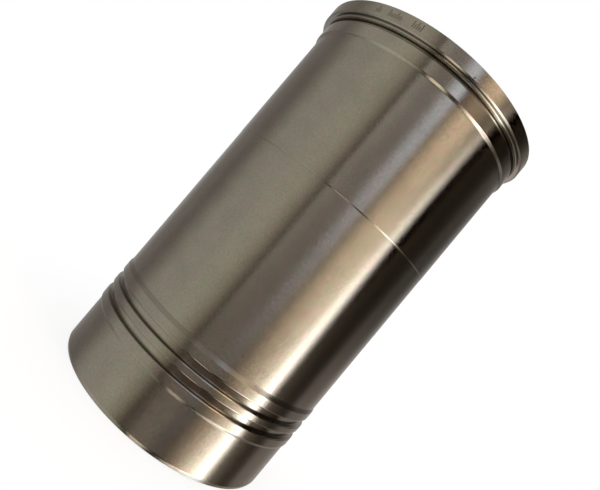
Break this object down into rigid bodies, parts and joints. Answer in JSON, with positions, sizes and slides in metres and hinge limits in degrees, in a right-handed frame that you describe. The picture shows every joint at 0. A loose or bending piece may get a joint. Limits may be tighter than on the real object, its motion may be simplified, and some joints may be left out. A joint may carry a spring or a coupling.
{
  "type": "cylinder liner",
  "caption": "Wet cylinder liner: a flanged, ground tube with a honed bore, a centring band under the flange and a grooved seal land near the bottom.",
  "frame": {"origin": "centre of the bottom end face, on the axis of the bore", "axes": "+Z along the bore, from the bottom end to the joint face on top of the flange"},
  "size_m": [0.153, 0.153, 0.2507],
  "materials": {
    "liner_iron": "fine ground and turned, with a honed bore"
  },
  "bodies": {
    "root": {"cylinder_liner": "liner_iron"}
  },
  "joints": []
}
